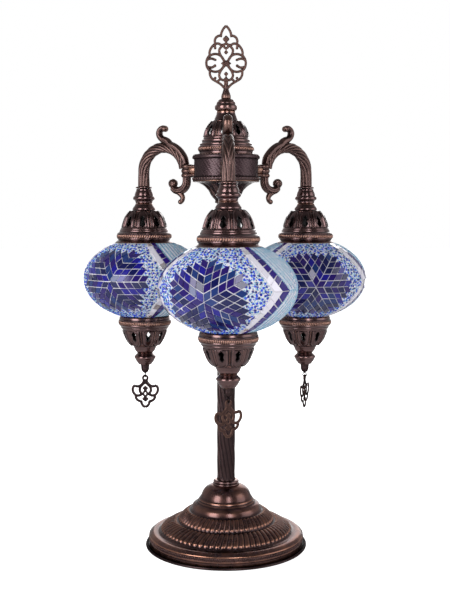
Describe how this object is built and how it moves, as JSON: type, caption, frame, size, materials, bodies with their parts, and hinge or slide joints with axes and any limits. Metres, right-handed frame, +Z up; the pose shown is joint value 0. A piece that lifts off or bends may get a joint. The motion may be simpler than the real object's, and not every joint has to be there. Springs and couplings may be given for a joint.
{
  "type": "mosaic glass table lamp",
  "caption": "Table lamp: round stepped base, fluted pole, pierced hub and swan-neck arms, each carrying a mosaic glass globe between pierced metal caps with a hanging filigree pendant.",
  "frame": {"origin": "centre of the felt's underside, on the pole's axis, where the lamp rests on the table", "axes": "+Z up along the pole; -Y towards the front globe; +X to the right, seen from the front"},
  "size_m": [0.3738, 0.3452, 0.66],
  "materials": {
    "bronze": "cast brass with a dark antique bronze patina, rubbed copper-brown on the high edges, semi-gloss lacquer",
    "felt": "black felt",
    "cast_iron": "as cast, grey primer",
    "rubber": "moulded black rubber",
    "plated_steel": "zinc plated thread and nuts",
    "wire_sleeve": "twin flex in a gold-coloured sleeve",
    "lampholder_plastic": "black phenolic moulding",
    "bulb_glass": "opal glass, unlit",
    "blown_glass": "frosted clear blown glass, seen only through the mosaic",
    "mosaic_glass": "hand-laid glass tiles and beads in pale grout: navy, royal and violet blue, light cyan, mirror silver"
  },
  "bodies": {
    "root": {"base_felt": "felt", "base_plate": "bronze", "base_weight": "cast_iron", "base_cover": "bronze", "cord_bush": "rubber", "rod_washer": "plated_steel", "rod_nut": "plated_steel", "threaded_rod": "plated_steel", "pole_collar": "bronze", "pole": "bronze", "hub_bell": "bronze", "hub_drum": "bronze", "hub_dome": "bronze", "hub_cap": "bronze", "finial": "bronze", "arm_1": "bronze", "arm_2": "bronze", "arm_3": "bronze", "arm_nuts": "plated_steel", "arm_wires": "wire_sleeve", "neck_ring_1": "bronze", "neck_knob_1": "bronze", "nipple_1": "plated_steel", "lampholder_1": "lampholder_plastic", "bulb_1": "bulb_glass", "neck_ring_2": "bronze", "neck_knob_2": "bronze", "nipple_2": "plated_steel", "lampholder_2": "lampholder_plastic", "bulb_2": "bulb_glass", "neck_ring_3": "bronze", "neck_knob_3": "bronze", "nipple_3": "plated_steel", "lampholder_3": "lampholder_plastic", "bulb_3": "bulb_glass"},
    "shade_1": {"upper_cap_1": "bronze", "globe_1": "blown_glass", "mosaic_1": "mosaic_glass", "lower_cap_1": "bronze", "lower_knob_1": "bronze", "drop_tip_1": "bronze"},
    "hook_1": {"hook_eye_1": "bronze"},
    "charm_1": {"pendant_1": "bronze"},
    "shade_2": {"upper_cap_2": "bronze", "globe_2": "blown_glass", "mosaic_2": "mosaic_glass", "lower_cap_2": "bronze", "lower_knob_2": "bronze", "drop_tip_2": "bronze"},
    "hook_2": {"hook_eye_2": "bronze"},
    "charm_2": {"pendant_2": "bronze"},
    "shade_3": {"upper_cap_3": "bronze", "globe_3": "blown_glass", "mosaic_3": "mosaic_glass", "lower_cap_3": "bronze", "lower_knob_3": "bronze", "drop_tip_3": "bronze"},
    "hook_3": {"hook_eye_3": "bronze"},
    "charm_3": {"pendant_3": "bronze"}
  },
  "joints": [
    {"name": "shade_turn_1", "type": "hinge", "parent": "root", "child": "shade_1", "pos_m": [0, -0.1235, 0.438], "axis": [0, 0, 1], "continuous": true},
    {"name": "hook_swivel_1", "type": "hinge", "parent": "shade_1", "child": "hook_1", "pos_m": [0, -0.1235, 0.219], "axis": [0, 0, 1], "continuous": true},
    {"name": "pendant_swing_1", "type": "hinge", "parent": "hook_1", "child": "charm_1", "pos_m": [0, -0.1235, 0.209], "axis": [-0.4695, 0.8829, 0], "range_deg": [-70, 70]},
    {"name": "shade_turn_2", "type": "hinge", "parent": "root", "child": "shade_2", "pos_m": [0.10695, 0.06175, 0.438], "axis": [0, 0, 1], "continuous": true},
    {"name": "hook_swivel_2", "type": "hinge", "parent": "shade_2", "child": "hook_2", "pos_m": [0.10695, 0.06175, 0.219], "axis": [0, 0, 1], "continuous": true},
    {"name": "pendant_swing_2", "type": "hinge", "parent": "hook_2", "child": "charm_2", "pos_m": [0.10695, 0.06175, 0.209], "axis": [-0.9063, 0.4226, 0], "range_deg": [-70, 70]},
    {"name": "shade_turn_3", "type": "hinge", "parent": "root", "child": "shade_3", "pos_m": [-0.10695, 0.06175, 0.438], "axis": [0, 0, 1], "continuous": true},
    {"name": "hook_swivel_3", "type": "hinge", "parent": "shade_3", "child": "hook_3", "pos_m": [-0.10695, 0.06175, 0.219], "axis": [0, 0, 1], "continuous": true},
    {"name": "pendant_swing_3", "type": "hinge", "parent": "hook_3", "child": "charm_3", "pos_m": [-0.10695, 0.06175, 0.209], "axis": [0, 1, 0], "range_deg": [-70, 70]}
  ]
}
